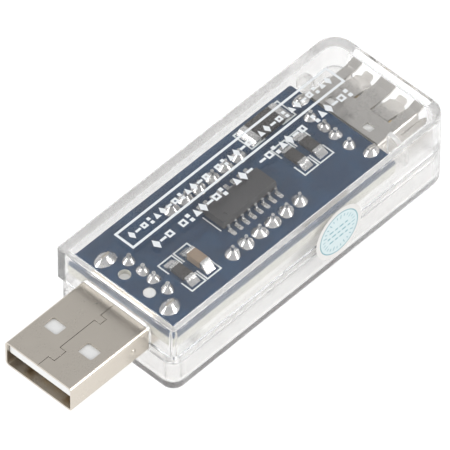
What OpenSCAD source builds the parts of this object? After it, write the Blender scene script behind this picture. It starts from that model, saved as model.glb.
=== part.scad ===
// USB power meter: a clear two-part case with a plug at one end and a socket at the other.
// +X runs from the plug's tip to the socket, +Z is up through the printed cover, and the
// origin is at the centre of the bounding box, on the surface that the meter rests on.

/* [Case] */
// Length of the case between its end faces
case_len = 52.9; // [52.4:0.1:58]
// Width of the case
case_w = 21.2; // [21:0.1:22]
// Height of the case
case_h = 13.05; // [13:0.05:14.5]
// Thickness of the clear walls
wall = 1.1; // [0.9:0.05:1.2]
// Height of the line where the two covers meet
split_z = 7.3; // [6.4:0.1:7.6]
// Upper cover's corner radius in plan beside the plug
near_r = 0.5; // [0.5:0.1:1.6]
// Lower cover's corner radius in plan beside the plug
lower_near_r = 2.1; // [1.8:0.1:2.4]
// Corner radius in plan beside the socket
far_r = 3.2; // [2.8:0.1:4]
// Rounding of the upper cover's top edge
top_edge_r = 0.4; // [0.2:0.05:0.45]
// Rounding of the lower cover's bottom edge
bottom_edge_r = 1.3; // [0.6:0.1:1.4]
// How far the upper cover's inner lip reaches down inside the lower cover
lip_depth = 1.8; // [1:0.1:2.5]

/* [Plug] */
// Length of the plug that stands out of the case
plug_len = 14.2; // [13.5:0.1:14.3]
// Width of the plug's steel shell
plug_w = 12.0; // [11.9:0.05:12.1]
// Height of the plug's steel shell
plug_h = 4.5; // [4.4:0.05:4.6]
// Height of the top of the plug above the bottom of the case
plug_top = 10.0; // [9.9:0.05:10.1]
// Outside bend radius of the steel shell
plug_bend_r = 0.65; // [0.5:0.05:0.8]

/* [Socket] */
// Width of the socket's steel shell
socket_w = 13.1; // [12.9:0.05:13.2]
// Height of the socket's steel shell
socket_h = 5.7; // [5.6:0.05:5.8]
// Height of the top of the socket's shell above the bottom of the case
socket_top = 10.4; // [10.3:0.05:10.5]
// How far the flared lips stand out from the shell
lip_flare = 0.45; // [0.3:0.05:0.5]

/* [Circuit board] */
// Length of the board
board_len = 41.8; // [41.5:0.1:41.9]
// Width of the board
board_w = 18.6; // [17:0.1:18.7]
// Thickness of the board
board_t = 1.6; // [1.5:0.05:1.6]
// Height of the board's upper face above the bottom of the case
board_top = 10.25; // [10.2:0.05:10.3]

/* [Display] */
// Length of the four-digit display
display_len = 30.1; // [29.5:0.1:30.2]
// Width of the display
display_w = 14.0; // [13:0.1:14.2]
// Depth of the display
display_h = 7.2; // [6.6:0.1:7.2]
// Distance between the display's two rows of pins
display_row = 11.0; // [10:0.1:11.2]

/* [Hidden] */

$fn = 48;
total_len = plug_len + case_len;
case_end = total_len;
steel_t = 0.3;
tiny = 0.01;

// Levels above the bottom of the case
cover_inner_top = case_h - wall;
board_bottom = board_top - board_t;
plug_bottom = plug_top - plug_h;
socket_bottom = socket_top - socket_h;
lip_z = split_z - lip_depth;
lip_inset = wall * 0.55;
cover_gap = 0.05;
// Plan radius that the lip's corners beside the plug are inset from
lip_corner_r = 1.6;

// Positions along X from the plug's tip
board_x0 = 15.5;
board_x1 = board_x0 + board_len;
plug_pin_x = 20.5;
plug_tab_x = 18.5;
plug_peg_x = 18.4;
plug_shell_end = 15.35;
plug_strip_end = 19.3;
plug_block_end = 21.3;
socket_shell_x0 = board_x1 + 0.25;
socket_rear_x = 53.7;
socket_pin_x = 55.0;
socket_tab_x = 56.2;
finger_root_x = 61.4;
finger_shoulder_x = 64.85;
finger_knee_x = 65.2;
finger_tip_x = 66.0;
socket_front_x = 66.35;
block_front_x = 60.0;
tongue_front_x = 65.3;
display_x = 37.05;
chip_x = 37.85;

// The four signal pins of a plug or socket across Y
pin_ys = [-3.5, -1.0, 1.0, 3.5];
pin_r = 0.3;
// How far the pins stand out above the board
pin_rise = 1.2;
display_pin_rise = 1.5;
tab_rise = 1.0;
peg_y = 2.25;
peg_r = 0.8;
window_y = 3.12;
window_x = 6.3;

// Small parts: centre x, centre y
capacitor_at = [[26.6, -3.0]];
resistor_at = [[23.7, -3.0], [48.4, 0.1], [51.3, 0.1]];
shunt_at = [49.8, 6.9];

module placed() {
    translate([-total_len / 2, 0, 0]) children();
}

// ---------- helpers ----------

module rounded_rect(size_x, size_y, r) {
    square([size_x - 2 * r, size_y], center = true);
    square([size_x, size_y - 2 * r], center = true);
    for (sx = [-1, 1], sy = [-1, 1])
        translate([sx * (size_x / 2 - r), sy * (size_y / 2 - r)]) circle(r);
}

// A plate with round corners, standing on z = 0
module rounded_plate(size_x, size_y, h, r) {
    linear_extrude(h) rounded_rect(size_x, size_y, r);
}

// A bar of rounded rectangular section along +X
module rounded_bar(len, w, h, r) {
    rotate([90, 0, 90]) linear_extrude(len) rounded_rect(w, h, r);
}

// A profile drawn as (x, z) points, spread across Y about y = 0
module cross_profile(points, w) {
    translate([0, w / 2, 0]) rotate([90, 0, 0]) linear_extrude(w) polygon(points);
}

// A solder cone round a pin, with its base on z = 0
module solder_cone(base_r, h, bore_r) {
    neck_r = bore_r + 0.22;
    rotate_extrude($fn = 32)
        polygon([[bore_r, 0], [base_r, 0], [base_r * 0.92, h * 0.14], [(base_r + neck_r) / 2, h * 0.54],
                 [neck_r + 0.05, h * 0.88], [neck_r - 0.1, h], [bore_r, h]]);
}

// ---------- case ----------

// Plan outline of the case, inset all round: small corners at the plug, large at the socket
module case_outline(inset, corner = near_r) {
    half_w = case_w / 2 - inset;
    x0 = plug_len + inset;
    x1 = case_end - inset;
    r0 = max(corner - inset, 0.3);
    r1 = far_r - inset;
    translate([x0, -half_w + r0]) square([x1 - x0 - r1, 2 * (half_w - r0)]);
    translate([x0 + r0, -half_w]) square([x1 - x0 - r0 - r1, 2 * half_w]);
    translate([x1 - r1 - tiny, -half_w + r1]) square([r1 + tiny, 2 * (half_w - r1)]);
    for (sy = [-1, 1]) {
        translate([x0 + r0, sy * (half_w - r0)]) circle(r0);
        translate([x1 - r1, sy * (half_w - r1)]) circle(r1);
    }
}

// A rectangle whose upper or lower corners are rounded
module edge_profile(w, z0, z1, r, round_top) {
    flat = round_top ? z0 : z0 + r;
    translate([-w / 2, flat]) square([w, z1 - z0 - r]);
    translate([-w / 2 + r, z0]) square([w - 2 * r, z1 - z0]);
    for (s = [-1, 1]) translate([s * (w / 2 - r), round_top ? z1 - r : z0 + r]) circle(r);
}

// The right half of the same rectangle, to turn about the vertical
module half_profile(w, z0, z1, r, round_top) {
    intersection() {
        edge_profile(w, z0, z1, r, round_top);
        translate([0, z0 - 1]) square([w, z1 - z0 + 2]);
    }
}

// The outer form of the case between two heights, with its upper or lower edge rounded
module case_form(z0, z1, edge_r, round_top, corner) {
    half_w = case_w / 2;
    translate([plug_len + corner, 0, 0]) rotate([90, 0, 90]) linear_extrude(case_len - corner - far_r)
        edge_profile(case_w, z0, z1, edge_r, round_top);
    for (side = [-1, 1]) {
        translate([plug_len + corner, side * (half_w - corner), 0]) rotate_extrude()
            half_profile(2 * corner, z0, z1, edge_r, round_top);
        translate([case_end - far_r, side * (half_w - far_r), 0]) rotate_extrude()
            half_profile(2 * far_r, z0, z1, edge_r, round_top);
    }
    translate([plug_len + corner, half_w - corner, 0]) rotate([90, 0, 0]) linear_extrude(case_w - 2 * corner)
        edge_profile(2 * corner, z0, z1, edge_r, round_top);
    translate([case_end - far_r, half_w - far_r, 0]) rotate([90, 0, 0]) linear_extrude(case_w - 2 * far_r)
        edge_profile(2 * far_r, z0, z1, edge_r, round_top);
}

// The space that the plug and the socket need through the end walls
module end_openings() {
    translate([plug_len - 1, 0, (plug_top + plug_bottom) / 2])
        rounded_bar(wall + 2, plug_w + 0.24, plug_h + 0.24, plug_bend_r + 0.1);
    translate([case_end - wall - 1, 0, (socket_top + socket_bottom) / 2])
        rounded_bar(wall + 2, socket_w + 2 * lip_flare + 0.4, socket_h + 2 * lip_flare + 0.4, 0.9);
}

// A web that hangs in the corner between the cover's top and its side, with a round outer corner
module corner_web(side) {
    web_x0 = 58.6;
    web_t = 0.8;
    web_y0 = socket_w / 2 + 0.35;
    web_z0 = 8.6;
    web_r = 2.2;
    sunk = 0.1;
    centre_y = case_w / 2 - wall + sunk - web_r;
    centre_z = cover_inner_top + sunk - web_r;
    translate([web_x0, 0, 0]) mirror([0, side < 0 ? 1 : 0, 0]) rotate([90, 0, 90]) linear_extrude(web_t) {
        translate([web_y0, web_z0]) square([centre_y - web_y0, centre_z + web_r - web_z0]);
        translate([web_y0, web_z0]) square([centre_y + web_r - web_y0, centre_z - web_z0]);
        translate([centre_y, centre_z]) intersection() {
            circle(web_r);
            square(web_r);
        }
    }
}

module upper_cover() {
    color([0.93, 0.95, 0.96, 0.35]) placed() {
        difference() {
            union() {
                difference() {
                    case_form(split_z, case_h, top_edge_r, true, near_r);
                    translate([0, 0, split_z - 1]) linear_extrude(cover_inner_top - split_z + 1) case_outline(wall);
                }
                translate([0, 0, lip_z]) linear_extrude(lip_depth + 0.6) difference() {
                    case_outline(lip_inset, lip_corner_r);
                    case_outline(wall);
                }
            }
            end_openings();
        }
        for (side = [-1, 1]) corner_web(side);
    }
}

module lower_cover() {
    color([0.93, 0.95, 0.96, 0.35]) placed() difference() {
        case_form(0, split_z - cover_gap, bottom_edge_r, false, lower_near_r);
        translate([0, 0, wall]) linear_extrude(split_z) case_outline(wall, lower_near_r);
        translate([0, 0, lip_z - 0.1]) linear_extrude(split_z) case_outline(lip_inset - 0.03, lip_corner_r);
        end_openings();
    }
}

// Printed frame and rows of plain marks on the outside of the upper cover
print_t = 0.03;
frame_x = 40.4;
frame_x0 = 20.9;
frame_w = 3.55;
frame_y = 4.84;
frame_line = 0.36;
framed_groups = [13, 6, 12];
framed_h = 1.55;
title_y = 1.44;
title_groups = [3, 7, 3, 7, 6];
title_h = 1.85;

// One plain mark, chosen by its number: diamonds, a square, a triangle, a dash or a pair of dots
module print_mark(kind, h) {
    line = 0.3;
    w = h * 0.58;
    diamond = [[0, h / 2], [w / 2, 0], [0, -h / 2], [-w / 2, 0]];
    if (kind == 0) polygon(diamond);
    if (kind == 1) difference() {
        square(w, center = true);
        square(w - 2 * line, center = true);
    }
    if (kind == 2) polygon([[-w / 2, -h * 0.3], [w / 2, -h * 0.3], [0, h * 0.4]]);
    if (kind == 3) square([w, line * 1.2], center = true);
    if (kind == 4) for (side = [-1, 1]) translate([0, side * h * 0.25]) square(w * 0.55, center = true);
}

function sum_before(list, n) = n == 0 ? 0 : list[n - 1] + sum_before(list, n - 1);

// A row of marks along +X in groups, with one empty place between groups
module mark_row(groups, row_len, h) {
    last = len(groups) - 1;
    pitch = row_len / (sum_before(groups, last + 1) + last - 1);
    for (g = [0:last], i = [0:groups[g] - 1])
        translate([(sum_before(groups, g) + g + i) * pitch, 0]) print_mark((g + 3 * i) % 5, h);
}

module cover_print() {
    color([0.96, 0.97, 0.98]) placed() translate([0, 0, case_h]) linear_extrude(print_t) {
        translate([frame_x0 + frame_x / 2, frame_y]) difference() {
            square([frame_x, frame_w], center = true);
            square([frame_x - 2 * frame_line, frame_w - 2 * frame_line], center = true);
        }
        translate([frame_x0 + 1.6, frame_y]) mark_row(framed_groups, frame_x - 3.2, framed_h);
        translate([frame_x0 + 2.7, title_y]) mark_row(title_groups, frame_x - 4.0, title_h);
    }
}

// Round seal on the near side, across the line where the covers meet
sticker_r = 4.35;
sticker_t = 0.05;
sticker_x = 45.5;
sticker_z = 6.8;

module seal_sticker() {
    color([0.9, 0.93, 0.92]) placed()
        translate([sticker_x, -case_w / 2, sticker_z]) rotate([90, 0, 0]) cylinder(r = sticker_r, h = sticker_t, $fn = 96);
}

// ---------- circuit board ----------

module display_pin_sites() {
    for (i = [0:5], side = [-1, 1])
        translate([display_x + (i - 2.5) * 2.54, side * display_row / 2, 0]) children();
}

module circuit_board() {
    color([0.13, 0.2, 0.32]) placed() difference() {
        translate([board_x0 + board_len / 2, 0, board_bottom]) rounded_plate(board_len, board_w, board_t, 0.4);
        translate([0, 0, board_bottom - 1]) {
            display_pin_sites() cylinder(r = pin_r + 0.12, h = board_t + 2);
            for (y = pin_ys) {
                translate([plug_pin_x, y, 0]) cylinder(r = pin_r + 0.15, h = board_t + 2);
                translate([socket_pin_x, y, 0]) cylinder(r = pin_r + 0.15, h = board_t + 2);
            }
            for (side = [-1, 1]) {
                translate([plug_peg_x, side * peg_y, 0]) cylinder(r = peg_r + 0.08, h = board_t + 2);
                translate([plug_tab_x, side * (plug_w - steel_t) / 2, 0]) rounded_plate(1.9, 0.6, board_t + 2, 0.25);
                translate([socket_tab_x, side * (socket_w - steel_t) / 2, 0]) rounded_plate(1.7, 0.6, board_t + 2, 0.25);
            }
        }
    }
}

// Thin plated areas under the chip's leads and the end caps of the small parts
pad_t = 0.04;

module solder_pads() {
    color([0.72, 0.72, 0.7]) placed() translate([0, 0, board_top]) {
        for (i = [0:7], side = [-1, 1])
            translate([chip_x + (i - 3.5) * 1.27, side * 2.85, 0]) rounded_plate(0.62, 1.35, pad_t, 0.2);
    }
}

// Two brackets round a small part, open in the middle of its long sides
module part_bracket(size_x, size_y, gap) {
    line = 0.22;
    difference() {
        square([size_x, size_y], center = true);
        square([size_x - 2 * line, size_y - 2 * line], center = true);
        square([size_x + 1, gap], center = true);
    }
}

module board_print() {
    color([0.9, 0.93, 0.93]) placed() translate([0, 0, board_top]) linear_extrude(print_t) {
        for (p = concat(capacitor_at, resistor_at)) translate(p) part_bracket(2.75, 6.4, 2.2);
        translate(shunt_at) rotate(90) part_bracket(3.6, 8.6, 3.4);
        // Bar at the first-pin end of the chip
        translate([chip_x - 5.35, 0]) square([0.18, 3.4], center = true);
    }
}

// ---------- plug ----------

// The shell's interlocked seam: straight slits along X joined by short steps across Y
seam_gap = 0.08;
seam_y = 0.1;
seam_key_y = -0.95;
seam_keys = [[2.0, 4.15], [10.55, 11.7]];

module seam_run(x0, x1, y) {
    translate([x0, y - seam_gap / 2]) square([x1 - x0, seam_gap]);
}

module seam_slit() {
    seam_run(-1, seam_keys[0][0], seam_y);
    seam_run(seam_keys[0][1], seam_keys[1][0], seam_y);
    seam_run(seam_keys[1][1], plug_shell_end + 1, seam_y);
    for (k = seam_keys) {
        seam_run(k[0], k[1], seam_key_y);
        for (x = k) translate([x - seam_gap / 2, seam_key_y - seam_gap / 2])
            square([seam_gap, seam_y - seam_key_y + seam_gap]);
    }
}

stop_x = 11.4;
stop_r = 0.6;
stop_rise = 0.22;

module plug_shell() {
    mid_z = (plug_top + plug_bottom) / 2;
    color([0.66, 0.64, 0.6]) placed() {
        difference() {
            union() {
                translate([0, 0, mid_z]) rounded_bar(plug_shell_end, plug_w, plug_h, plug_bend_r);
                // A round stop pressed outward on each side
                for (side = [-1, 1]) translate([stop_x, side * (plug_w / 2 - stop_r + stop_rise), mid_z]) sphere(stop_r);
            }
            translate([-1, 0, mid_z])
                rounded_bar(plug_shell_end + 2, plug_w - 2 * steel_t, plug_h - 2 * steel_t, plug_bend_r - steel_t);
            for (side = [-1, 1]) translate([window_x, side * window_y, plug_bottom - 1])
                rounded_plate(2.1, 2.5, plug_h + 2, 0.4);
            translate([0, 0, plug_top - steel_t - 0.2]) linear_extrude(1) seam_slit();
        }
        // Side strips under the board, each with a tab through it
        for (side = [-1, 1]) translate([0, side * (plug_w - steel_t) / 2 - steel_t / 2, 0]) {
            translate([plug_shell_end - 0.5, 0, plug_bottom + 0.8]) cube([plug_strip_end - plug_shell_end + 0.5, steel_t, board_bottom - plug_bottom - 1]);
            translate([plug_tab_x - 0.7, 0, plug_bottom + 0.8]) cube([1.4, steel_t, board_top + tab_rise - plug_bottom - 0.8]);
        }
    }
}

contact_t = 0.25;
plug_slab_t = 1.95;
plug_slab_bottom = plug_top - steel_t - plug_slab_t;

// One plug contact: a strip under the slab, then a pin up through the board
module plug_contact(y, x0, w) {
    translate([x0, y - w / 2, plug_slab_bottom - contact_t]) cube([plug_pin_x + pin_r - x0, w, contact_t]);
    translate([plug_pin_x, y, plug_slab_bottom - contact_t]) cylinder(r = pin_r, h = board_top + pin_rise - plug_slab_bottom + contact_t);
}

module all_plug_contacts() {
    for (y = pin_ys) plug_contact(y, abs(y) > 2 ? 1.3 : 2.3, 1.2);
}

module plug_insulator() {
    slab_w = plug_w - 2 * steel_t - 0.1;
    block_bottom = plug_bottom + steel_t + 0.05;
    color([0.93, 0.93, 0.9]) placed() difference() {
        union() {
            translate([0.45, 0, plug_slab_bottom + plug_slab_t / 2 - 0.025])
                rounded_bar(plug_shell_end - 0.55, slab_w, plug_slab_t - 0.05, 0.3);
            translate([12.4, -slab_w / 2 + 0.1, block_bottom])
                cube([plug_shell_end - 12.5, slab_w - 0.2, plug_slab_bottom - block_bottom + 0.5]);
            translate([plug_shell_end - 0.3, -slab_w / 2 + 0.1, block_bottom])
                cube([plug_block_end - plug_shell_end + 0.3, slab_w - 0.2, board_bottom - block_bottom - 0.05]);
            // One peg is flush with the board and the other stops short of it
            translate([plug_peg_x, -peg_y, board_bottom - 0.5]) cylinder(r = peg_r, h = board_t + 0.5);
            translate([plug_peg_x, peg_y, board_bottom - 0.5]) cylinder(r = peg_r, h = board_t - 0.2);
        }
        all_plug_contacts();
    }
}

module plug_contacts() {
    color([0.85, 0.7, 0.35]) placed() all_plug_contacts();
}

// Solder round a flat tab: a long cone with the tab's slot left open
module tab_solder(x, y, tab_l, base_r, h) {
    difference() {
        hull() for (s = [-1, 1]) translate([x + s * tab_l / 4, y, board_top]) solder_cone(base_r, h, 0);
        translate([x - tab_l / 2, y - steel_t / 2, board_top - 1]) cube([tab_l, steel_t, 5]);
    }
}

module plug_solder() {
    color([0.75, 0.74, 0.72]) placed() {
        for (y = pin_ys) translate([plug_pin_x, y, board_top]) solder_cone(0.95, 0.75, pin_r);
        for (side = [-1, 1]) tab_solder(plug_tab_x, side * (plug_w - steel_t) / 2, 1.4, 1.3, 0.95);
    }
}

// ---------- socket ----------

socket_mid_z = (socket_top + socket_bottom) / 2;
finger_y = 3.05;
finger_w = 2.75;
finger_tip_w = 1.55;
notch_w = 3.45;
lip_x0 = socket_front_x - 1.2;

slit_x0 = 61.7;
slit_z = 1.4;
slit_h = 0.14;

// A lip bent outward at the front edge, for the top of the shell
module top_lip(y, w) {
    translate([0, y, 0])
        cross_profile([[lip_x0 - 0.2, socket_top - steel_t], [lip_x0, socket_top - steel_t],
                       [socket_front_x, socket_top - steel_t + lip_flare], [socket_front_x, socket_top + lip_flare],
                       [lip_x0, socket_top], [lip_x0 - 0.2, socket_top]], w);
}

// The same lips on the bottom of the shell
module about_socket_axis() {
    children();
    translate([0, 0, 2 * socket_mid_z]) mirror([0, 0, 1]) children();
}

module socket_shell() {
    tube_len = lip_x0 - socket_shell_x0;
    side_y = socket_w / 2;
    color([0.62, 0.6, 0.56]) placed() {
        difference() {
            translate([socket_shell_x0, 0, socket_mid_z]) rounded_bar(tube_len, socket_w, socket_h, 0.55);
            translate([socket_shell_x0 - 1, 0, socket_mid_z])
                rounded_bar(tube_len + 2, socket_w - 2 * steel_t, socket_h - 2 * steel_t, 0.25);
            // Notches for the spring fingers, open to the front, top and bottom
            for (side = [-1, 1]) translate([finger_root_x - 0.06, side * finger_y - notch_w / 2, socket_bottom - 1])
                cube([10, notch_w, socket_h + 2]);
            // Slits above and below the tongue in each side
            for (sz = [-1, 1]) translate([slit_x0, -socket_w, socket_mid_z + sz * slit_z - slit_h / 2])
                cube([10, 2 * socket_w, slit_h]);
            // Two windows over the plastic block
            for (side = [-1, 1]) translate([58.9, side * 3.35, socket_mid_z]) rounded_plate(1.15, 1.5, socket_h, 0.2);
        }
        about_socket_axis() {
            top_lip(0, 2 * finger_y - notch_w);
            for (side = [-1, 1]) top_lip(side * 5.55, 1.6);
        }
        // Side lips
        for (side = [-1, 1]) translate([0, side * side_y, socket_mid_z]) mirror([0, side < 0 ? 1 : 0, 0])
            linear_extrude(2 * slit_z - slit_h, center = true)
                polygon([[lip_x0 - 0.2, -steel_t], [lip_x0, -steel_t], [socket_front_x, lip_flare - steel_t],
                         [socket_front_x, lip_flare], [lip_x0, 0], [lip_x0 - 0.2, 0]]);
        // Cheeks and floor behind the tube, under the board, with the two tabs
        translate([socket_rear_x, 0, 0]) {
            for (side = [-1, 1]) translate([0, side * (side_y - steel_t / 2) - steel_t / 2, socket_bottom + 0.55])
                cube([socket_shell_x0 - socket_rear_x + tiny, steel_t, board_bottom - 0.15 - socket_bottom - 0.55]);
            translate([0, -side_y + 0.55, socket_bottom]) cube([socket_shell_x0 - socket_rear_x + tiny, socket_w - 1.1, steel_t]);
        }
        for (side = [-1, 1]) translate([socket_tab_x - 0.65, side * (side_y - steel_t / 2) - steel_t / 2, socket_bottom + 0.6])
            cube([1.3, steel_t, board_top + tab_rise - socket_bottom - 0.6]);
    }
}

tongue_bottom = socket_bottom + steel_t + 0.7;
tongue_t = 1.84;
tongue_top = tongue_bottom + tongue_t;
spring_pivot_x = 60.35;
spring_pivot_z = tongue_top - 0.62;
spring_w = 1.0;
spring_t = 0.2;
slot_w = 1.4;
slot_depth = 0.74;

// The tail behind each spring: back through the block, then up through the board
module contact_tail(y) {
    translate([socket_pin_x - pin_r, y - spring_w / 2, spring_pivot_z - spring_t / 2])
        cube([spring_pivot_x - 0.08 - socket_pin_x + pin_r, spring_w, spring_t]);
    translate([socket_pin_x, y, spring_pivot_z - spring_t / 2])
        cylinder(r = pin_r, h = board_top + pin_rise - spring_pivot_z + spring_t / 2);
}

module socket_insulator() {
    block_w = socket_w - 2 * steel_t - 0.1;
    floor_z = socket_bottom + steel_t + 0.03;
    color([0.9, 0.93, 0.92]) placed() difference() {
        union() {
            translate([socket_rear_x + 0.2, -block_w / 2, floor_z])
                cube([socket_shell_x0 - socket_rear_x, block_w, board_bottom - 0.05 - floor_z]);
            translate([socket_shell_x0 + 0.1, 0, socket_mid_z])
                rounded_bar(block_front_x - socket_shell_x0 - 0.1, block_w, socket_h - 2 * steel_t - 0.06, 0.25);
            translate([block_front_x - 0.5, 0, tongue_bottom + tongue_t / 2])
                rounded_bar(tongue_front_x - block_front_x + 0.5, 11.1, tongue_t, 0.25);
        }
        // Slots in which the contact springs sink
        for (y = pin_ys) translate([block_front_x - 0.1, y - slot_w / 2, spring_pivot_z - slot_depth])
            cube([tongue_front_x - 0.45 - block_front_x + 0.1, slot_w, 5]);
        for (y = pin_ys) contact_tail(y);
    }
}

module socket_contact_tails() {
    color([0.85, 0.7, 0.35]) placed() for (y = pin_ys) contact_tail(y);
}

// Height of a contact spring's middle above its pivot, at a fraction of its length
function spring_rise(u) = 1.05 * sin(180 * pow(u, 1.25)) - 0.12 * u;

module socket_contact_springs() {
    span = 4.15;
    steps = 16;
    lower = [for (i = [0:steps]) [spring_pivot_x + span * i / steps, spring_pivot_z + spring_rise(i / steps) - spring_t / 2]];
    upper = [for (i = [steps:-1:0]) [spring_pivot_x + span * i / steps, spring_pivot_z + spring_rise(i / steps) + spring_t / 2]];
    color([0.87, 0.72, 0.36]) placed() for (y = pin_ys)
        translate([0, y, 0]) cross_profile(concat(lower, upper), spring_w);
}

// How far a retention spring dips into the socket: a slow curve to the knee, then a flare back out
finger_depth = 0.5;

function finger_dip(x) = x < finger_knee_x
    ? finger_depth * (1 - cos(180 * (x - finger_root_x) / (finger_knee_x - finger_root_x))) / 2
    : finger_depth * (finger_tip_x - x) / (finger_tip_x - finger_knee_x);

module finger_outline() {
    tip_len = finger_tip_x - finger_shoulder_x;
    translate([finger_root_x - 1, -finger_w / 2]) square([finger_shoulder_x - finger_root_x + 1, finger_w]);
    polygon([[finger_shoulder_x - tiny, -finger_w / 2], [finger_knee_x, -finger_tip_w / 2],
             [finger_knee_x, finger_tip_w / 2], [finger_shoulder_x - tiny, finger_w / 2]]);
    translate([finger_tip_x - tip_len / 2, 0]) rounded_rect(tip_len, finger_tip_w, 0.3);
}

module retention_finger(y) {
    steps = 12;
    span = finger_knee_x - finger_root_x;
    stations = concat([for (i = [0:steps]) finger_root_x + span * i / steps], [finger_tip_x]);
    outer = [for (x = stations) [x, socket_top - finger_dip(x)]];
    inner = [for (i = [steps + 1:-1:0]) [stations[i], socket_top - steel_t - finger_dip(stations[i])]];
    translate([0, y, 0]) intersection() {
        cross_profile(concat(outer, inner), finger_w + 1);
        translate([0, 0, socket_top - 2]) linear_extrude(4) finger_outline();
    }
}

module upper_retention_springs() {
    color([0.66, 0.64, 0.6]) placed() for (side = [-1, 1]) retention_finger(side * finger_y);
}

module lower_retention_springs() {
    color([0.66, 0.64, 0.6]) placed() translate([0, 0, 2 * socket_mid_z]) mirror([0, 0, 1])
        for (side = [-1, 1]) retention_finger(side * finger_y);
}

module socket_solder() {
    color([0.75, 0.74, 0.72]) placed() {
        for (y = pin_ys) translate([socket_pin_x, y, board_top]) solder_cone(0.95, 0.75, pin_r);
        for (side = [-1, 1]) tab_solder(socket_tab_x, side * (socket_w - steel_t) / 2, 1.3, 1.0, 0.75);
    }
}

// ---------- display ----------

display_top = board_bottom - 0.1;
display_z0 = display_top - display_h;
face_t = 0.5;
digit_h = 9.2;
digit_w = 4.9;
digit_pitch = 7.4;
segment_w = 0.95;
segment_depth = 0.3;

module display_housing() {
    color([0.94, 0.94, 0.92]) placed() difference() {
        translate([display_x, 0, display_z0 + face_t]) rounded_plate(display_len, display_w, display_h - face_t, 0.3);
        // Blind holes that hold the pins
        translate([0, 0, display_top - 1.5]) display_pin_sites() cylinder(r = 0.25, h = 3);
    }
}

// A segment that lies along X, with pointed ends
module segment_bar(l) {
    w = segment_w / 2;
    polygon([[-l / 2, 0], [-l / 2 + w, w], [l / 2 - w, w], [l / 2, 0], [l / 2 - w, -w], [-l / 2 + w, -w]]);
}

// Seven segments and a point
module digit() {
    arm = digit_h / 2 - 0.55;
    for (row = [-1, 0, 1]) translate([0, row * (digit_h - segment_w) / 2]) segment_bar(digit_w - segment_w - 0.1);
    for (sx = [-1, 1], sy = [-1, 1])
        translate([sx * (digit_w - segment_w) / 2, sy * (digit_h - segment_w) / 4]) rotate(90) segment_bar(arm);
    translate([digit_w / 2 + 0.95, -digit_h / 2 + 0.5]) circle(0.5, $fn = 24);
}

module all_digits() {
    for (i = [0:3]) translate([display_x + (i - 1.5) * digit_pitch - 0.3, 0]) digit();
}

module display_face() {
    color([0.16, 0.17, 0.18]) placed() difference() {
        translate([display_x, 0, display_z0]) rounded_plate(display_len, display_w, face_t, 0.3);
        translate([0, 0, display_z0 - 1]) linear_extrude(1 + segment_depth) all_digits();
    }
}

module display_segments() {
    color([0.85, 0.2, 0.15]) placed() translate([0, 0, display_z0]) linear_extrude(segment_depth) all_digits();
}

module display_pins() {
    color([0.8, 0.8, 0.78]) placed() translate([0, 0, display_top - 1.5])
        display_pin_sites() cylinder(r = 0.25, h = board_top + display_pin_rise - display_top + 1.5);
}

module display_solder() {
    color([0.75, 0.74, 0.72]) placed() translate([0, 0, board_top]) display_pin_sites() solder_cone(1.16, 0.9, 0.25);
}

// ---------- chip and small parts ----------

body_l = 9.9;
body_w = 3.9;
body_z0 = board_top + 0.15;
body_h = 1.3;
lead_z = body_z0 + 0.7;
lead_t = 0.2;

module microcontroller() {
    waist = body_h * 0.5;
    color([0.16, 0.15, 0.15]) placed() difference() {
        translate([chip_x - body_l / 2, 0, body_z0]) rotate([90, 0, 90]) linear_extrude(body_l)
            polygon([[-body_w / 2 + 0.12, 0], [body_w / 2 - 0.12, 0], [body_w / 2, waist],
                     [body_w / 2 - 0.2, body_h], [-body_w / 2 + 0.2, body_h], [-body_w / 2, waist]]);
        // First-pin dimple
        translate([chip_x - body_l / 2 + 1.0, -body_w / 2 + 1.0, body_z0 + body_h - 0.08]) cylinder(r = 0.4, h = 1, $fn = 32);
    }
}

// Gull-wing lead as (y, z) points, from the body outwards
module lead() {
    y0 = body_w / 2 + 0.01;
    foot = board_top + pad_t;
    polygon([[y0, lead_z], [y0 + 0.32, lead_z], [y0 + 0.5, foot + lead_t], [y0 + 1.05, foot + lead_t], [y0 + 1.05, foot],
             [y0 + 0.36, foot], [y0 + 0.2, lead_z - lead_t], [y0, lead_z - lead_t]]);
}

module microcontroller_leads() {
    color([0.8, 0.8, 0.8]) placed() for (i = [0:7], side = [0, 1])
        translate([chip_x + (i - 3.5) * 1.27, 0, 0]) mirror([0, side, 0])
            translate([-0.2, 0, 0]) rotate([90, 0, 90]) linear_extrude(0.4) lead();
}

chip_l = 3.2;
chip_w = 1.6;
cap_t = 0.45;
capacitor_h = 1.2;
resistor_h = 0.6;
shunt_l = 6.35;
shunt_w = 3.2;
shunt_cap = 0.9;

// The middle of a two-ended part that lies along Y
module chip_middle(l, w, h, cap) {
    translate([-w / 2, -l / 2 + cap, 0.03]) cube([w, l - 2 * cap, h]);
}

// Its two metal ends
module chip_ends(l, w, h, cap) {
    for (side = [0, 1]) mirror([0, side, 0])
        translate([-w / 2, l / 2 - cap, 0]) cube([w, cap, h + 0.05]);
}

// Solder that climbs each metal end
module chip_fillets(l, w, h, reach) {
    for (side = [0, 1]) mirror([0, side, 0]) translate([-w / 2 - 0.05, l / 2, 0]) rotate([90, 0, 90])
        linear_extrude(w + 0.1)
            polygon([[0, 0], [reach, 0], [reach * 0.7, h * 0.2], [reach * 0.28, h * 0.55], [0, h * 0.9]]);
}

module at_chips(places) {
    for (p = places) translate([p[0], p[1], board_top]) children();
}

module chip_capacitors() {
    color([0.6, 0.5, 0.38]) placed() at_chips(capacitor_at) chip_middle(chip_l, chip_w, capacitor_h, cap_t);
}

module chip_resistors() {
    color([0.15, 0.14, 0.14]) placed() at_chips(resistor_at) chip_middle(chip_l, chip_w, resistor_h, cap_t);
}

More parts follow.
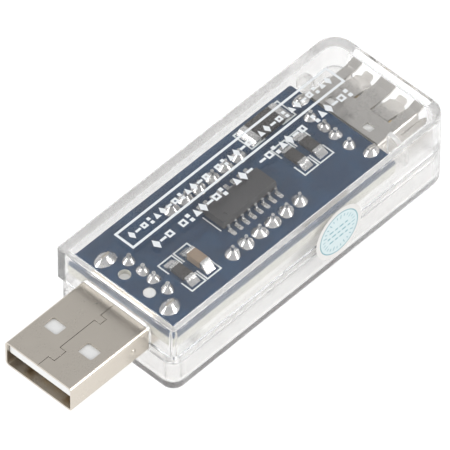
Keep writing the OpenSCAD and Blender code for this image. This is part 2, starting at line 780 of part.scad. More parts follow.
module chip_terminals() {
    color([0.8, 0.79, 0.76]) placed() {
        at_chips(capacitor_at) chip_ends(chip_l, chip_w, capacitor_h, cap_t);
        at_chips(resistor_at) chip_ends(chip_l, chip_w, resistor_h, cap_t);
    }
}

module shunt_resistor() {
    color([0.15, 0.14, 0.14]) placed() translate([shunt_at[0], shunt_at[1], board_top]) rotate(90)
        chip_middle(shunt_l, shunt_w, resistor_h, shunt_cap);
}

module shunt_terminals() {
    color([0.8, 0.79, 0.76]) placed() translate([shunt_at[0], shunt_at[1], board_top]) rotate(90)
        chip_ends(shunt_l, shunt_w, resistor_h, shunt_cap);
}

module chip_solder() {
    color([0.75, 0.74, 0.72]) placed() {
        at_chips(capacitor_at) chip_fillets(chip_l, chip_w, capacitor_h, 1.05);
        at_chips(resistor_at) chip_fillets(chip_l, chip_w, resistor_h, 1.05);
        translate([shunt_at[0], shunt_at[1], board_top]) rotate(90) chip_fillets(shunt_l, shunt_w, resistor_h, 0.7);
    }
}

upper_cover();
lower_cover();
cover_print();
seal_sticker();
circuit_board();
board_print();
solder_pads();
plug_shell();
plug_insulator();
plug_contacts();
plug_solder();
socket_shell();
socket_insulator();
socket_contact_springs();
socket_contact_tails();
upper_retention_springs();
lower_retention_springs();
socket_solder();
display_housing();
display_face();
display_segments();
display_pins();
display_solder();
microcontroller();
microcontroller_leads();
shunt_resistor();
shunt_terminals();
chip_capacitors();
chip_resistors();
chip_terminals();
chip_solder();
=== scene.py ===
import math

import bmesh
import bpy
from mathutils import Matrix, Vector


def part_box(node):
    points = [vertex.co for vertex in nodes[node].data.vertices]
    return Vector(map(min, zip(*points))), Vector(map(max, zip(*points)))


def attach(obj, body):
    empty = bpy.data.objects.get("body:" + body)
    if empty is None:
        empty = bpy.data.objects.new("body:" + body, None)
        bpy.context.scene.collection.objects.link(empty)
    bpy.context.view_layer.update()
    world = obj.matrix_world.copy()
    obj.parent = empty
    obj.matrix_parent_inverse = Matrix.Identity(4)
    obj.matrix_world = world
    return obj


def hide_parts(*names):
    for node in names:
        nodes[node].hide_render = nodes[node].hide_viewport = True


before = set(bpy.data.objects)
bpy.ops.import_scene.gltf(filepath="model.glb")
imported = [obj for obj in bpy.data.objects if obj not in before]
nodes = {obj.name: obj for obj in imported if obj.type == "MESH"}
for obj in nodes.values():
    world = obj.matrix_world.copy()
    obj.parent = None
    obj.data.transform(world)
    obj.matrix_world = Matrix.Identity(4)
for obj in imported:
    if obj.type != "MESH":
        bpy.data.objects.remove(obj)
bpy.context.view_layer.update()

# USB power meter: the looks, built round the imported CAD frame. All lengths are in metres.

MM = 0.001
scene = bpy.context.scene


# ---------- places, from the frame ----------

def low(node):
    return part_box(node)[0]


def high(node):
    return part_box(node)[1]


CASE_X0, CASE_X1 = low("lower_cover").x, high("lower_cover").x
CASE_HALF_W = high("upper_cover").y
CASE_TOP = high("upper_cover").z
SPLIT_Z = high("lower_cover").z
LIP_Z = low("upper_cover").z
BOARD_TOP = high("circuit_board").z
BOARD_BOTTOM = low("circuit_board").z
WALL = 1.1 * MM
LIP_INSET = 0.6 * MM
COVER_GAP = 0.05 * MM
LEAST_R = 0.3 * MM
UPPER_NEAR_R = 0.5 * MM
LOWER_NEAR_R = 2.1 * MM
FAR_R = 3.2 * MM
LIP_CORNER_R = 1.6 * MM
PLUG_HALF_W, PLUG_HALF_H = 6.0 * MM, 2.25 * MM


# ---------- mesh helpers ----------

def add_object(name, mesh, material, body):
    piece = bpy.data.objects.new(name, mesh)
    scene.collection.objects.link(piece)
    mesh.materials.clear()
    mesh.materials.append(material)
    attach(piece, body)
    return piece


def mesh_from(name, vertices, faces):
    mesh = bpy.data.meshes.new(name)
    mesh.from_pydata(vertices, [], faces)
    mesh.validate()
    return mesh


def smooth(mesh, angle=32):
    for polygon in mesh.polygons:
        polygon.use_smooth = True
    mesh.set_sharp_from_angle(angle=math.radians(angle))


def even_normals(piece):
    weighted = piece.modifiers.new("even_normals", "WEIGHTED_NORMAL")
    weighted.keep_sharp = True
    weighted.weight = 60


def soft_edges(piece, width):
    """Welds a piece, rounds its edges by width and smooths its shading."""
    weld = piece.modifiers.new("weld", "WELD")
    weld.merge_threshold = 0.002 * MM
    bevel = piece.modifiers.new("edges", "BEVEL")
    bevel.width = width
    bevel.segments = 2
    bevel.limit_method = "ANGLE"
    bevel.angle_limit = math.radians(35)
    bevel.use_clamp_overlap = True
    bevel.harden_normals = False
    even_normals(piece)


def loft(name, rings):
    """A closed skin through rings of equal length, with a flat cap at each end."""
    count = len(rings[0])
    vertices = [p for ring in rings for p in ring]
    faces = []
    for r in range(len(rings) - 1):
        a, b = r * count, (r + 1) * count
        for i in range(count):
            j = (i + 1) % count
            faces.append((a + i, a + j, b + j, b + i))
    faces.append(tuple(reversed(range(count))))
    faces.append(tuple(range((len(rings) - 1) * count, len(rings) * count)))
    return mesh_from(name, vertices, faces)


def outward(mesh):
    bm = bmesh.new()
    bm.from_mesh(mesh)
    bmesh.ops.recalc_face_normals(bm, faces=bm.faces)
    bm.to_mesh(mesh)
    bm.free()
    return mesh


def cut(name, mesh, cutters):
    """A copy of mesh with each cutter taken away."""
    host = bpy.data.objects.new(name, mesh)
    scene.collection.objects.link(host)
    helpers = []
    for k, cutter in enumerate(cutters):
        helper = bpy.data.objects.new(f"{name}_helper_{k}", cutter)
        scene.collection.objects.link(helper)
        helpers.append(helper)
        modifier = host.modifiers.new(f"step_{k}", "BOOLEAN")
        modifier.operation = "DIFFERENCE"
        modifier.solver = "EXACT"
        modifier.object = helper
    bpy.context.view_layer.update()
    depsgraph = bpy.context.evaluated_depsgraph_get()
    result = bpy.data.meshes.new_from_object(host.evaluated_get(depsgraph))
    for used in [host] + helpers:
        bpy.data.objects.remove(used)
    result.name = name
    return result


def rounded_loop(half_x, half_y, radius, steps=5):
    """Points round a rectangle with round corners, about the origin."""
    points = []
    for k, (sx, sy) in enumerate(((1, 1), (-1, 1), (-1, -1), (1, -1))):
        for i in range(steps + 1):
            a = math.radians(90 * k + 90 * i / steps)
            x = sx * (half_x - radius) + radius * math.cos(a)
            y = sy * (half_y - radius) + radius * math.sin(a)
            points.append((x, y))
    return points


def bar_along_x(name, x0, x1, half_y, half_z, mid_z, radius):
    loop = rounded_loop(half_y, half_z, radius)
    rings = [[(x, y, mid_z + z) for y, z in loop] for x in (x0, x1)]
    return outward(loft(name, rings))


def circle(radius, steps=72):
    angles = [math.tau * i / steps for i in range(steps)]
    return [(radius * math.cos(a), radius * math.sin(a)) for a in angles]


# ---------- material helpers ----------

class Look:
    """A node material with one Principled shader, and short calls for the textures that drive it."""

    def __init__(self, name, colour, roughness, metallic=0.0, **plain):
        self.material = bpy.data.materials.new(name)
        self.material.use_nodes = True
        self.tree = self.material.node_tree
        self.shader = self.tree.nodes["Principled BSDF"]
        self.shader.inputs["Base Color"].default_value = (*colour, 1)
        self.shader.inputs["Roughness"].default_value = roughness
        self.shader.inputs["Metallic"].default_value = metallic
        for key, value in plain.items():
            self.shader.inputs[key.replace("_", " ")].default_value = value
        self.colour = colour

    def node(self, kind, **settings):
        made = self.tree.nodes.new(kind)
        for key, value in settings.items():
            setattr(made, key, value)
        return made

    def link(self, a, b):
        self.tree.links.new(a, b)

    def place(self, scale=(1, 1, 1)):
        """Object coordinates in millimetres, scaled."""
        mapping = self.node("ShaderNodeMapping")
        mapping.inputs["Scale"].default_value = [s / MM for s in scale]
        self.link(self.node("ShaderNodeTexCoord").outputs["Object"], mapping.inputs["Vector"])
        return mapping.outputs["Vector"]

    def noise(self, scale, detail=3.0, stretch=(1, 1, 1), roughness=0.55):
        texture = self.node("ShaderNodeTexNoise")
        texture.inputs["Scale"].default_value = scale
        texture.inputs["Detail"].default_value = detail
        texture.inputs["Roughness"].default_value = roughness
        self.link(self.place(stretch), texture.inputs["Vector"])
        return texture.outputs["Fac"]

    def cells(self, scale):
        texture = self.node("ShaderNodeTexVoronoi", feature="F1")
        texture.inputs["Scale"].default_value = scale
        self.link(self.place(), texture.inputs["Vector"])
        return texture.outputs["Distance"]

    def ranged(self, value, from_lo, from_hi, to_lo, to_hi):
        ranged = self.node("ShaderNodeMapRange")
        limits = {"From Min": from_lo, "From Max": from_hi, "To Min": to_lo, "To Max": to_hi}
        for key, number in limits.items():
            ranged.inputs[key].default_value = number
        self.link(value, ranged.inputs["Value"])
        return ranged.outputs["Result"]

    def maths(self, operation, a, b):
        made = self.node("ShaderNodeMath", operation=operation)
        for socket, value in zip(made.inputs, (a, b)):
            if isinstance(value, (int, float)):
                socket.default_value = value
            else:
                self.link(value, socket)
        return made.outputs["Value"]

    def mixed(self, factor, colour_a, colour_b):
        mix = self.node("ShaderNodeMix", data_type="RGBA")
        self.link(factor, mix.inputs["Factor"])
        for socket, colour in ((mix.inputs["A"], colour_a), (mix.inputs["B"], colour_b)):
            if isinstance(colour, tuple):
                socket.default_value = (*colour, 1)
            else:
                self.link(colour, socket)
        return mix.outputs["Result"]

    def set_colour(self, value):
        self.link(value, self.shader.inputs["Base Color"])

    def vary_colour(self, factor, amount):
        """The base colour, darker and lighter by a share that follows factor."""
        darker = tuple(c * (1 - amount) for c in self.colour)
        lighter = tuple(min(c * (1 + amount), 1) for c in self.colour)
        self.set_colour(self.mixed(factor, darker, lighter))

    def vary_roughness(self, factor, lo, hi):
        self.link(self.ranged(factor, 0.3, 0.7, lo, hi), self.shader.inputs["Roughness"])

    def bump(self, height, depth, strength=1.0):
        """A bump of the given depth in millimetres."""
        bump = self.node("ShaderNodeBump")
        bump.inputs["Strength"].default_value = strength
        bump.inputs["Distance"].default_value = depth * MM
        self.link(height, bump.inputs["Height"])
        self.link(bump.outputs["Normal"], self.shader.inputs["Normal"])

    def facing(self):
        """How far the surface faces up or down: 0 on an upright wall, 1 on a level face."""
        parts = self.node("ShaderNodeSeparateXYZ")
        self.link(self.node("ShaderNodeNewGeometry").outputs["Normal"], parts.inputs["Vector"])
        return self.maths("ABSOLUTE", parts.outputs["Z"], 0)


def clear_plastic(name, tint, polished_haze, clearness=0.985):
    """Clear plastic that lamps shine through. Its upright walls are hazier than its level faces."""
    wall_haze = 0.17
    look = Look(name, tint, 0.05, Transmission_Weight=clearness, IOR=1.45)
    haze = look.ranged(look.facing(), 0.4, 0.98, wall_haze, polished_haze)
    flow = look.ranged(look.noise(0.8, 4), 0.3, 0.7, 0.03, 0.09)
    look.link(look.maths("ADD", haze, flow), look.shader.inputs["Roughness"])
    look.bump(look.noise(0.35, 2), 0.012, 0.5)
    through = look.node("ShaderNodeBsdfTransparent")
    through.inputs["Color"].default_value = (0.97, 0.97, 0.97, 1)
    rays = look.node("ShaderNodeLightPath")
    mix = look.node("ShaderNodeMixShader")
    look.link(rays.outputs["Is Shadow Ray"], mix.inputs["Fac"])
    look.link(look.shader.outputs["BSDF"], mix.inputs[1])
    look.link(through.outputs["BSDF"], mix.inputs[2])
    look.link(mix.outputs["Shader"], look.tree.nodes["Material Output"].inputs["Surface"])
    return look.material


def steel(name, colour, roughness):
    """Nickel-plated sheet: fine rolled grain along X, faint blotches and handling marks."""
    look = Look(name, colour, roughness, metallic=1.0)
    grain = look.noise(9, 3, (0.25, 2.2, 2.2), 0.7)
    blotch = look.noise(0.35, 4)
    both = look.maths("ADD", look.maths("MULTIPLY", grain, 0.45), look.maths("MULTIPLY", blotch, 0.55))
    look.vary_colour(both, 0.07)
    look.vary_roughness(both, roughness - 0.08, roughness + 0.1)
    look.bump(look.noise(14, 2, (0.4, 1.6, 1.6), 0.6), 0.006, 0.6)
    return look.material


def solder_metal():
    """Bright solder with dull patches where flux has dried."""
    look = Look("bright_solder", (0.72, 0.71, 0.70), 0.16, metallic=1.0)
    patches = look.noise(1.1, 4)
    look.vary_colour(patches, 0.25)
    look.vary_roughness(patches, 0.08, 0.32)
    look.bump(look.noise(3.2, 3), 0.05, 0.5)
    return look.material


def tinned_metal(name, level):
    """Tin plate, a trace warmer than grey. level is how bright it is."""
    look = Look(name, (level, level * 0.99, level * 0.965), 0.22, metallic=1.0)
    look.vary_colour(look.noise(4, 3), 0.15)
    look.vary_roughness(look.noise(7, 3), 0.12, 0.34)
    look.bump(look.noise(9, 2), 0.01, 0.6)
    return look.material


def gold_metal():
    look = Look("contact_metal", (0.83, 0.62, 0.28), 0.25, metallic=1.0)
    # The metal is tinned where it comes up through the board
    place = look.node("ShaderNodeSeparateXYZ")
    look.link(look.node("ShaderNodeNewGeometry").outputs["Position"], place.inputs["Vector"])
    tinned = look.ranged(place.outputs["Z"], BOARD_BOTTOM, BOARD_TOP, 0, 1)
    look.set_colour(look.mixed(tinned, look.colour, (0.80, 0.79, 0.77)))
    look.vary_roughness(look.noise(6, 3), 0.16, 0.34)
    look.bump(look.noise(12, 2, (0.3, 2, 2)), 0.006, 0.5)
    return look.material


def solder_mask():
    """Blue solder mask, glossy, with buried copper that shows as broad soft patches."""
    look = Look("solder_mask", (0.006, 0.034, 0.088), 0.3,
                Specular_IOR_Level=0.3, Coat_Weight=0.15, Coat_Roughness=0.12)
    copper = look.ranged(look.noise(0.28, 1), 0.46, 0.54, 0, 1)
    weave = look.noise(6, 2)
    tint = look.mixed(copper, (0.005, 0.028, 0.076), (0.009, 0.042, 0.102))
    masked = look.mixed(look.ranged(weave, 0.3, 0.7, 0, 0.35), tint, (0.014, 0.052, 0.118))
    # The cut edges of the board show pale glass fibre
    flat = look.ranged(look.facing(), 0.4, 0.6, 0, 1)
    look.set_colour(look.mixed(flat, (0.60, 0.59, 0.53), masked))
    look.vary_roughness(look.noise(2.5, 3), 0.22, 0.42)
    look.bump(look.maths("ADD", copper, look.maths("MULTIPLY", weave, 0.25)), 0.02, 0.7)
    return look.material


def plain_plastic(name, colour, roughness, grain=11.0, depth=0.008, shade=0.05, **plain):
    """Moulded or printed matter with a fine even texture."""
    look = Look(name, colour, roughness, **plain)
    look.vary_colour(look.noise(1.2, 4), shade)
    look.vary_roughness(look.noise(3, 3), roughness - 0.07, roughness + 0.09)
    look.bump(look.noise(grain, 3), depth, 0.7)
    return look.material


def ceramic(name, colour, roughness):
    """Fired ceramic or glaze with a fine speckle."""
    look = Look(name, colour, roughness)
    speck = look.ranged(look.cells(9), 0.05, 0.6, 0, 1)
    darker, lighter = (tuple(c * share for c in colour) for share in (0.85, 1.1))
    look.set_colour(look.mixed(speck, darker, lighter))
    look.vary_roughness(look.noise(5, 3), roughness - 0.08, roughness + 0.1)
    look.bump(look.noise(14, 3), 0.012, 0.7)
    return look.material


def floor_look():
    look = Look("pale_floor", (0.40, 0.40, 0.40), 0.7, Emission_Color=(1, 1, 1, 1), Emission_Strength=0.74)
    look.vary_colour(look.noise(0.02, 2), 0.006)
    return look.material


CLEAR = clear_plastic("clear_upper", (0.965, 0.962, 0.957), 0.0)
CLEAR_LOWER = clear_plastic("clear_lower", (0.948, 0.943, 0.936), 0.12)
CLEAR_WEB = clear_plastic("clear_web", (0.945, 0.94, 0.932), 0.3, 0.8)
STEEL = steel("plug_steel", (0.645, 0.592, 0.518), 0.30)
SOCKET_STEEL = steel("socket_steel", (0.62, 0.595, 0.562), 0.30)
SOLDER = solder_metal()
TINNED = tinned_metal("tinned_metal", 0.76)
LEAD_METAL = tinned_metal("lead_metal", 0.55)
GOLD = gold_metal()
MASK = solder_mask()
INK = plain_plastic("white_ink", (0.86, 0.88, 0.89), 0.45, 20, 0.004, 0.03)
BOARD_INK = plain_plastic("board_ink", (0.78, 0.82, 0.82), 0.5, 20, 0.004, 0.06)
# Painted glow: the paper is given a faint emission on both faces, standing in for light that soaks through
# the thin paper and lightening its back as seen through the wall
SEAL = plain_plastic("seal_paper", (0.45, 0.437, 0.42), 0.4, 16, 0.004, 0.02,
                     Emission_Color=(1, 0.985, 0.96, 1), Emission_Strength=0.28)
SEAL_INK = plain_plastic("seal_ink", (0.20, 0.40, 0.45), 0.5, 16, 0.003, 0.1)
SEAL_TINT = plain_plastic("seal_tint", (0.62, 0.72, 0.73), 0.45, 16, 0.003, 0.04)
WHITE_PLASTIC = plain_plastic("white_insulator", (0.80, 0.80, 0.79), 0.38, 8, 0.012, 0.04)
DISPLAY_WHITE = plain_plastic("display_shell", (0.82, 0.81, 0.78), 0.42, 7, 0.012, 0.04)
DISPLAY_DARK = plain_plastic("display_front", (0.018, 0.019, 0.021), 0.35, 10, 0.006, 0.1)
SEGMENT_RED = plain_plastic("display_segment", (0.42, 0.05, 0.035), 0.35, 10, 0.004, 0.06)
CHIP_BLACK = plain_plastic("chip_compound", (0.052, 0.050, 0.051), 0.55, 12, 0.016, 0.12)
CAPACITOR_TAN = ceramic("capacitor_ceramic", (0.27, 0.20, 0.14), 0.42)
RESISTOR_DARK = ceramic("resistor_glaze", (0.045, 0.040, 0.036), 0.28)


# ---------- case ----------

def case_ring(z, inset, near_r):
    """Points round the case's plan outline at a height, inset on every side."""
    steps = 12
    x0, x1, half = CASE_X0 + inset, CASE_X1 - inset, CASE_HALF_W - inset
    near = max(near_r - inset, LEAST_R)
    far = FAR_R - inset
    points = []
    corners = ((x1 - far, half - far, far, 0), (x0 + near, half - near, near, 90),
               (x0 + near, near - half, near, 180), (x1 - far, far - half, far, 270))
    for cx, cy, r, start in corners:
        for i in range(steps + 1):
            a = math.radians(start + 90 * i / steps)
            points.append((cx + r * math.cos(a), cy + r * math.sin(a), z))
    return points


def edge_rings(z_flat, inset_flat, radius, rise, near_r, steps=7):
    """Rings of a rounded edge, from the wall to the flat. rise is 1 for an upper edge, -1 for a lower."""
    rings = []
    for i in range(steps + 1):
        a = math.radians(90 * i / steps)
        z = z_flat - rise * radius * (1 - math.sin(a))
        rings.append(case_ring(z, inset_flat + radius * (1 - math.cos(a)), near_r))
    return rings


def end_cutters():
    """Solids that open the end walls for the plug and the socket."""
    outside, inside = 1 * MM, WALL + 0.5 * MM
    plug_gap, socket_gap = 0.12 * MM, 0.2 * MM
    plug_mid = low("plug_shell").z + PLUG_HALF_H
    socket_half_w = high("socket_shell").y
    socket_mid = (low("lower_retention_springs").z + high("upper_retention_springs").z) / 2
    socket_half_h = high("socket_shell").z - socket_mid
    return [
        bar_along_x("plug_way", CASE_X0 - outside, CASE_X0 + inside, PLUG_HALF_W + plug_gap,
                    PLUG_HALF_H + plug_gap, plug_mid, 0.75 * MM),
        bar_along_x("socket_way", CASE_X1 - inside, CASE_X1 + outside, socket_half_w + socket_gap,
                    socket_half_h + socket_gap, socket_mid, 0.9 * MM),
    ]


def corner_webs():
    """Clear webs in the corners beside the socket, each with a round outer corner."""
    from_end, thickness = 8.5 * MM, 0.8 * MM
    y0, z0 = 6.9 * MM, 8.6 * MM
    radius, gap, steps = 2.2 * MM, 0.02 * MM, 16
    x0 = CASE_X1 - from_end
    mid_y, mid_z = CASE_HALF_W - WALL - gap - radius, CASE_TOP - WALL - gap - radius
    webs = []
    for side in (-1, 1):
        profile = [(y0, z0), (mid_y + radius, z0)]
        for i in range(steps + 1):
            a = math.radians(90 * i / steps)
            profile.append((mid_y + radius * math.cos(a), mid_z + radius * math.sin(a)))
        profile.append((y0, mid_z + radius))
        rings = [[(x, side * y, z) for y, z in profile] for x in (x0, x0 + thickness)]
        webs.append(outward(loft(f"corner_web_{side}", rings)))
    return webs


def make_upper_cover():
    top_r, inner_r, chamfer = 0.4 * MM, 0.3 * MM, 0.06 * MM
    near = UPPER_NEAR_R
    split = SPLIT_Z + COVER_GAP
    rings = list(reversed(edge_rings(CASE_TOP, 0, top_r, 1, near)))
    rings += [case_ring(split + chamfer, 0, near), case_ring(split, chamfer, near)]
    rings += [case_ring(split, LIP_INSET, LIP_CORNER_R), case_ring(LIP_Z + chamfer, LIP_INSET, LIP_CORNER_R)]
    rings += [case_ring(LIP_Z, LIP_INSET + chamfer, LIP_CORNER_R), case_ring(LIP_Z, WALL, near)]
    rings += edge_rings(CASE_TOP - WALL, WALL, inner_r, 1, near)
    mesh = outward(loft("clear_upper_cover", rings))
    mesh = cut("clear_upper_cover", mesh, end_cutters())
    smooth(mesh, 30)
    piece = add_object("clear_upper_cover", mesh, CLEAR, "case")
    even_normals(piece)
    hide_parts("upper_cover")
    for number, web in enumerate(corner_webs()):
        even_normals(add_object(f"corner_web_{number}", web, CLEAR_WEB, "case"))


def make_lower_cover():
    bottom_r, inner_r, chamfer = 1.3 * MM, 0.6 * MM, 0.1 * MM
    near = LOWER_NEAR_R
    rebate, shelf = LIP_INSET - 0.03 * MM, LIP_Z - 0.1 * MM
    rings = list(reversed(edge_rings(0, 0, bottom_r, -1, near)))
    rings += [case_ring(SPLIT_Z - chamfer, 0, near), case_ring(SPLIT_Z, chamfer, near)]
    rings += [case_ring(SPLIT_Z, rebate, LIP_CORNER_R), case_ring(shelf, rebate, LIP_CORNER_R)]
    rings += [case_ring(shelf, WALL, near)]
    rings += edge_rings(WALL, WALL, inner_r, -1, near)
    mesh = outward(loft("clear_lower_cover", rings))
    mesh = cut("clear_lower_cover", mesh, end_cutters())
    smooth(mesh, 30)
    piece = add_object("clear_lower_cover", mesh, CLEAR_LOWER, "case")
    even_normals(piece)
    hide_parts("lower_cover")


# ---------- print and seal ----------

def ribbon(points, width, closed=False):
    """A stroke of one width along points, as flat quads, with mitred corners."""
    count = len(points)
    quads, left, right = [], [], []
    for i in range(count):
        before = points[(i - 1) % count] if closed or i > 0 else points[i]
        after = points[(i + 1) % count] if closed or i < count - 1 else points[i]
        along = Vector((after[0] - before[0], after[1] - before[1])).normalized()
        side = Vector((-along.y, along.x)) * width / 2
        if 0 < i < count - 1 or closed:
            first = Vector((points[i][0] - before[0], points[i][1] - before[1])).normalized()
            side /= max(side.normalized().dot(Vector((-first.y, first.x))), 0.5)
        left.append((points[i][0] + side.x, points[i][1] + side.y))
        right.append((points[i][0] - side.x, points[i][1] - side.y))
    for i in range(count if closed else count - 1):
        j = (i + 1) % count
        quads.append((left[i], left[j], right[j], right[i]))
    return quads


def raised(name, quads, z0, thickness, place):
    """Flat quads given a thickness, each point put in space by place(x, y, height)."""
    bm = bmesh.new()
    for quad in quads:
        low_ring = [bm.verts.new(place(x, y, z0)) for x, y in quad]
        high_ring = [bm.verts.new(place(x, y, z0 + thickness)) for x, y in quad]
        n = len(quad)
        bm.faces.new(list(reversed(low_ring)))
        bm.faces.new(high_ring)
        for i in range(n):
            bm.faces.new((low_ring[i], low_ring[(i + 1) % n], high_ring[(i + 1) % n], high_ring[i]))
    bmesh.ops.remove_doubles(bm, verts=bm.verts, dist=0.0005 * MM)
    inside = [f for f in bm.faces if all(len(e.link_faces) > 2 for e in f.edges)]
    bmesh.ops.delete(bm, geom=inside, context="FACES_ONLY")
    bmesh.ops.recalc_face_normals(bm, faces=bm.faces)
    mesh = bpy.data.meshes.new(name)
    bm.to_mesh(mesh)
    bm.free()
    return mesh


def disc(name, radius, thickness, mid):
    """A thin disc on the near side, facing -Y, with a softly rounded rim."""
    rim = thickness * 0.5
    section = ((0, radius - 2 * rim), (0, radius - rim * 0.6), (-rim, radius),
               (-thickness + rim * 0.4, radius), (-thickness, radius - rim * 0.6),
               (-thickness, radius - 2 * rim))
    rings = [[(mid[0] + x, mid[1] + offset, mid[2] + z) for x, z in circle(r)] for offset, r in section]
    return outward(loft(name, rings))


def make_seal():
    lo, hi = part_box("seal_sticker")
    mid = (lo + hi) / 2
    radius, ink_t = (hi.x - lo.x) / 2, 0.006 * MM
    surface = -CASE_HALF_W
    thickness = hi.y - lo.y - 2 * ink_t
    mesh = disc("seal_disc", radius, thickness, (mid.x, surface, mid.z))
    smooth(mesh, 50)
    # The disc carries the painted glow of the seal paper
    piece = add_object("seal_disc", mesh, SEAL, "case")
    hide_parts("seal_sticker")
    ring_r = radius * 0.815
    tint = disc("seal_field", ring_r, ink_t, (mid.x, surface - thickness, mid.z))
    add_object("seal_field", tint, SEAL_TINT, "case")
    quads = ribbon(circle(ring_r), 0.16 * MM, True)
    ticks, dash_pitch = 26, 0.95 * MM
    for k in range(ticks):
        along = Vector((math.cos(math.tau * k / ticks), math.sin(math.tau * k / ticks)))
        inner = radius * (0.60 if k % 3 else 0.55)
        quads += ribbon([along * inner, along * radius * 0.70], 0.13 * MM)
    for row, count in ((-1, 4), (0, 5), (1, 4)):
        for i in range(count):
            x, y = (i - (count - 1) / 2) * dash_pitch, row * dash_pitch
            half = (0.36 if (i + row) % 2 else 0.24) * MM
            quads += ribbon([(x - half, y), (x + half, y)], 0.26 * MM)
    mesh = raised("seal_print", quads, thickness + ink_t, ink_t,
                  lambda x, y, z: (mid.x + x, surface - z, mid.z + y))
    add_object("seal_print", mesh, SEAL_INK, "case")


# ---------- solder ----------

GOLDEN_ANGLE = 2.399


def joint_mesh(name, sites, profile, steps=28, lean=0.05):
    """Solder joints turned about the vertical at each site, each a little uneven in its own way."""
    vertices, faces = [], []
    rows, top = len(profile), profile[-1][1]
    for number, (x, y, z, stretch) in enumerate(sites):
        first = len(vertices)
        phase = number * GOLDEN_ANGLE
        for r, h in profile:
            share = h / top
            shift = lean * share * top * 0.8
            for i in range(steps):
                a = math.tau * i / steps
                wave = math.sin(2 * a + phase) + 0.6 * math.sin(3 * a + 1.7 * phase)
                wobble = 1 + lean * (1 - share) * wave
                vertices.append((x + r * wobble * stretch * math.cos(a) + shift * math.cos(phase),
                                 y + r * wobble * math.sin(a) + shift * math.sin(phase), z + h))
        for k in range(rows - 1):
            for i in range(steps):
                j = (i + 1) % steps
                a, b = first + k * steps, first + (k + 1) * steps
                faces.append((a + i, a + j, b + j, b + i))
        faces.append(tuple(first + i for i in reversed(range(steps))))
        faces.append(tuple(first + (rows - 1) * steps + i for i in range(steps)))
    mesh = mesh_from(name, vertices, faces)
    smooth(mesh, 70)
    return mesh


def cone_profile(base_r, height, pin_r, steps=6):
    """From the board up: a thin foot, an almost straight flank and a rounded neck round the pin."""
    neck, foot = pin_r + 0.16 * MM, base_r * 0.94
    points = [(base_r, 0.0), (base_r * 0.97, height * 0.07)]
    for i in range(steps + 1):
        t = i / steps
        rise = 0.12 + 0.73 * t + 0.05 * math.sin(math.pi * t)
        points.append((foot + (neck - foot) * t, height * rise))
    points += [(neck * 0.93, height * 0.94), (neck * 0.75, height * 0.99), (neck * 0.4, height)]
    return points


def solid_boxes(node):
    """The low and high corner of each separate solid in a node, in order along X, then Y."""
    bm = bmesh.new()
    bm.from_mesh(nodes[node].data)
    bmesh.ops.remove_doubles(bm, verts=bm.verts, dist=0.001 * MM)
    left, boxes = set(bm.verts), []
    while left:
        stack, group = [left.pop()], []
        while stack:
            vertex = stack.pop()
            group.append(vertex.co.copy())
            for edge in vertex.link_edges:
                other = edge.other_vert(vertex)
                if other in left:
                    left.remove(other)
                    stack.append(other)
        boxes.append((Vector(map(min, zip(*group))), Vector(map(max, zip(*group)))))
    bm.free()
    return sorted(boxes, key=lambda box: (round(box[0].x / MM, 2), round(box[0].y / MM, 2)))


def make_joints(name, node):
    """Replaces a node of turned solder cones by slightly uneven ones in the same places."""
    pins, tabs = [], []
    for lo, hi in solid_boxes(node):
        size, mid = hi - lo, (lo + hi) / 2
        stretch = size.x / size.y
        if stretch > 1.15:
            tabs.append(((mid.x, mid.y, lo.z, stretch), size))
        else:
            pins.append(((mid.x, mid.y, lo.z, 1.0), size))
    for label, joints, core_r in (("pins", pins, 0.28 * MM), ("tabs", tabs, 0.36 * MM)):
        if not joints:
            continue
        size = joints[0][1]
        profile = cone_profile(size.y / 2, size.z, core_r)
        mesh = joint_mesh(f"{name}_{label}", [site for site, _ in joints], profile)
        add_object(f"{name}_{label}", mesh, SOLDER, "case")
    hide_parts(node)


# ---------- the CAD nodes that stay ----------

# Each node's material, and how far its edges are rounded in millimetres
KEPT = {
    "cover_print": (INK, 0),
    "circuit_board": (MASK, 0.10),
    "board_print": (BOARD_INK, 0),
    "solder_pads": (TINNED, 0),
    "plug_shell": (STEEL, 0.05),
    "plug_insulator": (WHITE_PLASTIC, 0.08),
    "plug_contacts": (GOLD, 0.04),
    "socket_shell": (SOCKET_STEEL, 0.04),
    "socket_insulator": (WHITE_PLASTIC, 0.06),
    "socket_contact_springs": (GOLD, 0.03),
    "socket_contact_tails": (GOLD, 0.03),
    "upper_retention_springs": (SOCKET_STEEL, 0.04),
    "lower_retention_springs": (SOCKET_STEEL, 0.04),
    "display_housing": (DISPLAY_WHITE, 0.2),
    "display_face": (DISPLAY_DARK, 0.06),
    "display_segments": (SEGMENT_RED, 0),
    "display_pins": (TINNED, 0.03),
    "microcontroller": (CHIP_BLACK, 0.07),
    "microcontroller_leads": (LEAD_METAL, 0.05),
    "shunt_resistor": (RESISTOR_DARK, 0.06),
    "shunt_terminals": (TINNED, 0.06),
    "chip_capacitors": (CAPACITOR_TAN, 0.08),
    "chip_resistors": (RESISTOR_DARK, 0.05),
    "chip_terminals": (TINNED, 0.08),
    "chip_solder": (SOLDER, 0.15),
}


def dress_nodes():
    for name, (material, bevel) in KEPT.items():
        node = nodes[name]
        node.data.materials.clear()
        node.data.materials.append(material)
        if bevel:
            soft_edges(node, bevel * MM)


# ---------- stage, light and camera ----------

def towards(azimuth, elevation):
    a, e = math.radians(azimuth), math.radians(elevation)
    return Vector((math.sin(a) * math.cos(e), -math.cos(a) * math.cos(e), math.sin(e)))


def area_light(name, azimuth, elevation, distance, width, height, power, aim):
    """A softbox. Azimuth 0 stands on the -Y side and 90 on the +X side, seen from the aim."""
    back = towards(azimuth, elevation)
    data = bpy.data.lights.new(name, "AREA")
    data.shape = "RECTANGLE"
    data.size, data.size_y = width, height
    data.energy = power
    light = bpy.data.objects.new(name, data)
    scene.collection.objects.link(light)
    light.location = aim + back * distance
    light.rotation_mode = "QUATERNION"
    light.rotation_quaternion = back.to_track_quat("Z", "Y")


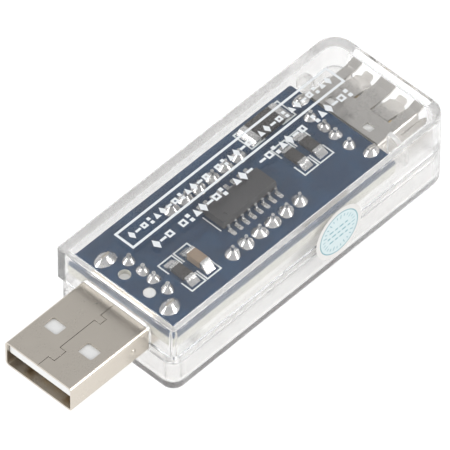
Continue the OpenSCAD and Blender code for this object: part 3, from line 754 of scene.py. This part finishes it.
CAMERA_AZIMUTH, CAMERA_ELEVATION, CAMERA_ROLL = -46.49, 49.13, 0.11
CAMERA_DISTANCE, CAMERA_LENS = 1.3627, 832.2
CAMERA_AIM = Vector((1.45 * MM, 0, 8.0 * MM))
CAMERA_RISE = 0.31 * MM


def make_camera():
    back = towards(CAMERA_AZIMUTH, CAMERA_ELEVATION)
    right = Vector((0, 0, 1)).cross(back).normalized()
    up = back.cross(right)
    aim = CAMERA_AIM + up * CAMERA_RISE
    data = bpy.data.cameras.new("camera")
    data.lens = CAMERA_LENS
    data.sensor_width = 36.0
    data.clip_start, data.clip_end = 0.05, 20
    camera = bpy.data.objects.new("camera", data)
    scene.collection.objects.link(camera)
    turn = Matrix((right, up, back)).transposed() @ Matrix.Rotation(math.radians(CAMERA_ROLL), 3, "Z")
    camera.matrix_world = Matrix.Translation(aim + back * CAMERA_DISTANCE) @ turn.to_4x4()
    scene.camera = camera


def make_stage():
    half = 3.0
    corners = [(-half, -half, 0), (half, -half, 0), (half, half, 0), (-half, half, 0)]
    mesh = mesh_from("floor", corners, [(0, 1, 2, 3)])
    floor = bpy.data.objects.new("floor", mesh)
    scene.collection.objects.link(floor)
    mesh.materials.append(floor_look())
    floor.location.z = -0.02 * MM


def make_lights():
    aim = Vector((0, 0, 5 * MM))
    for name, turn in (("left_softbox", -70), ("right_softbox", 70)):
        area_light(name, CAMERA_AZIMUTH + turn, 32, 0.55, 0.10, 0.30, 1.0, aim)
    world = bpy.data.worlds.new("studio")
    world.use_nodes = True
    background = world.node_tree.nodes["Background"]
    background.inputs["Color"].default_value = (0.97, 0.98, 1.0, 1)
    background.inputs["Strength"].default_value = 0.66
    scene.world = world
    scene.view_settings.view_transform = "Standard"
    scene.cycles.max_bounces = 24
    scene.cycles.transmission_bounces = 24
    scene.cycles.glossy_bounces = 8
    scene.cycles.transparent_max_bounces = 32


make_camera()
make_stage()
make_lights()
dress_nodes()
make_upper_cover()
make_lower_cover()
make_seal()
make_joints("display_joints", "display_solder")
make_joints("plug_joints", "plug_solder")
make_joints("socket_joints", "socket_solder")
